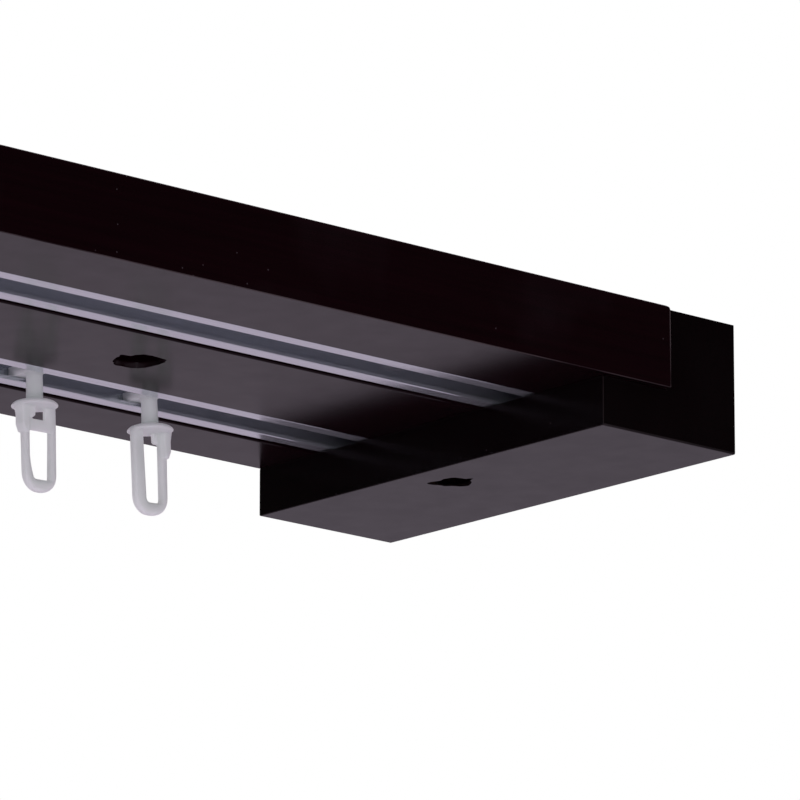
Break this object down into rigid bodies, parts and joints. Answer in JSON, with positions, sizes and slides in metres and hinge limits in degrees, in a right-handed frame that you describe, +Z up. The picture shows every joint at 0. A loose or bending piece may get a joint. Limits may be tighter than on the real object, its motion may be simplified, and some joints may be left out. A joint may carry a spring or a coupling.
{
  "type": "double curtain track",
  "caption": "Ceiling-mounted curtain track: dark varnished wooden board with aluminium channels let in below, stepped wooden end caps and sliding plastic gliders.",
  "frame": {"origin": "centre of the row of ceiling screw holes, on the face that lies against the ceiling", "axes": "+X along the track, +Y from the room towards the wall, +Z up to the ceiling"},
  "size_m": [1.0436, 0.12, 0.0451],
  "materials": {
    "board_varnish": "satin dark wenge varnish",
    "cap_varnish": "satin dark wenge varnish",
    "rail_aluminium": "satin anodised",
    "zinc_screw": "bright zinc",
    "brass_screw": "yellow zinc",
    "glider_plastic": "milky, slightly see-through"
  },
  "bodies": {
    "root": {"track_board": "board_varnish", "front_rail": "rail_aluminium", "rear_rail": "rail_aluminium", "front_rail_screws": "zinc_screw", "rear_rail_screws": "zinc_screw", "left_end_cap": "cap_varnish", "right_end_cap": "cap_varnish", "left_cap_screw": "brass_screw", "right_cap_screw": "brass_screw"},
    "front_glider_01": {"front_glider_01": "glider_plastic"},
    "front_glider_02": {"front_glider_02": "glider_plastic"},
    "front_glider_03": {"front_glider_03": "glider_plastic"},
    "front_glider_04": {"front_glider_04": "glider_plastic"},
    "front_glider_05": {"front_glider_05": "glider_plastic"},
    "front_glider_06": {"front_glider_06": "glider_plastic"},
    "front_glider_07": {"front_glider_07": "glider_plastic"},
    "front_glider_08": {"front_glider_08": "glider_plastic"},
    "front_glider_09": {"front_glider_09": "glider_plastic"},
    "front_glider_10": {"front_glider_10": "glider_plastic"},
    "rear_glider_01": {"rear_glider_01": "glider_plastic"},
    "rear_glider_02": {"rear_glider_02": "glider_plastic"},
    "rear_glider_03": {"rear_glider_03": "glider_plastic"},
    "rear_glider_04": {"rear_glider_04": "glider_plastic"},
    "rear_glider_05": {"rear_glider_05": "glider_plastic"},
    "rear_glider_06": {"rear_glider_06": "glider_plastic"},
    "rear_glider_07": {"rear_glider_07": "glider_plastic"},
    "rear_glider_08": {"rear_glider_08": "glider_plastic"},
    "rear_glider_09": {"rear_glider_09": "glider_plastic"},
    "rear_glider_10": {"rear_glider_10": "glider_plastic"}
  },
  "joints": [
    {"name": "front_slide_01", "type": "slide", "parent": "root", "child": "front_glider_01", "axis": [1, 0, 0], "range_m": [-0.0538, 0.0696]},
    {"name": "front_slide_02", "type": "slide", "parent": "root", "child": "front_glider_02", "axis": [1, 0, 0], "range_m": [-0.0696, 0.0696]},
    {"name": "front_slide_03", "type": "slide", "parent": "root", "child": "front_glider_03", "axis": [1, 0, 0], "range_m": [-0.0696, 0.0696]},
    {"name": "front_slide_04", "type": "slide", "parent": "root", "child": "front_glider_04", "axis": [1, 0, 0], "range_m": [-0.0696, 0.0696]},
    {"name": "front_slide_05", "type": "slide", "parent": "root", "child": "front_glider_05", "axis": [1, 0, 0], "range_m": [-0.0696, 0.0696]},
    {"name": "front_slide_06", "type": "slide", "parent": "root", "child": "front_glider_06", "axis": [1, 0, 0], "range_m": [-0.0696, 0.0696]},
    {"name": "front_slide_07", "type": "slide", "parent": "root", "child": "front_glider_07", "axis": [1, 0, 0], "range_m": [-0.0696, 0.0696]},
    {"name": "front_slide_08", "type": "slide", "parent": "root", "child": "front_glider_08", "axis": [1, 0, 0], "range_m": [-0.0696, 0.0696]},
    {"name": "front_slide_09", "type": "slide", "parent": "root", "child": "front_glider_09", "axis": [1, 0, 0], "range_m": [-0.0696, 0.0696]},
    {"name": "front_slide_10", "type": "slide", "parent": "root", "child": "front_glider_10", "axis": [1, 0, 0], "range_m": [-0.0696, 0.1638]},
    {"name": "rear_slide_01", "type": "slide", "parent": "root", "child": "rear_glider_01", "axis": [1, 0, 0], "range_m": [-0.0538, 0.09494]},
    {"name": "rear_slide_02", "type": "slide", "parent": "root", "child": "rear_glider_02", "axis": [1, 0, 0], "range_m": [-0.09494, 0.09494]},
    {"name": "rear_slide_03", "type": "slide", "parent": "root", "child": "rear_glider_03", "axis": [1, 0, 0], "range_m": [-0.09494, 0.09494]},
    {"name": "rear_slide_04", "type": "slide", "parent": "root", "child": "rear_glider_04", "axis": [1, 0, 0], "range_m": [-0.09494, 0.09494]},
    {"name": "rear_slide_05", "type": "slide", "parent": "root", "child": "rear_glider_05", "axis": [1, 0, 0], "range_m": [-0.09494, 0.09494]},
    {"name": "rear_slide_06", "type": "slide", "parent": "root", "child": "rear_glider_06", "axis": [1, 0, 0], "range_m": [-0.09494, 0.09494]},
    {"name": "rear_slide_07", "type": "slide", "parent": "root", "child": "rear_glider_07", "axis": [1, 0, 0], "range_m": [-0.09494, 0.09494]},
    {"name": "rear_slide_08", "type": "slide", "parent": "root", "child": "rear_glider_08", "axis": [1, 0, 0], "range_m": [-0.09494, 0.0514]},
    {"name": "rear_slide_09", "type": "slide", "parent": "root", "child": "rear_glider_09", "axis": [1, 0, 0], "range_m": [-0.0514, 0.0224]},
    {"name": "rear_slide_10", "type": "slide", "parent": "root", "child": "rear_glider_10", "axis": [1, 0, 0], "range_m": [-0.0224, 0.0518]}
  ]
}
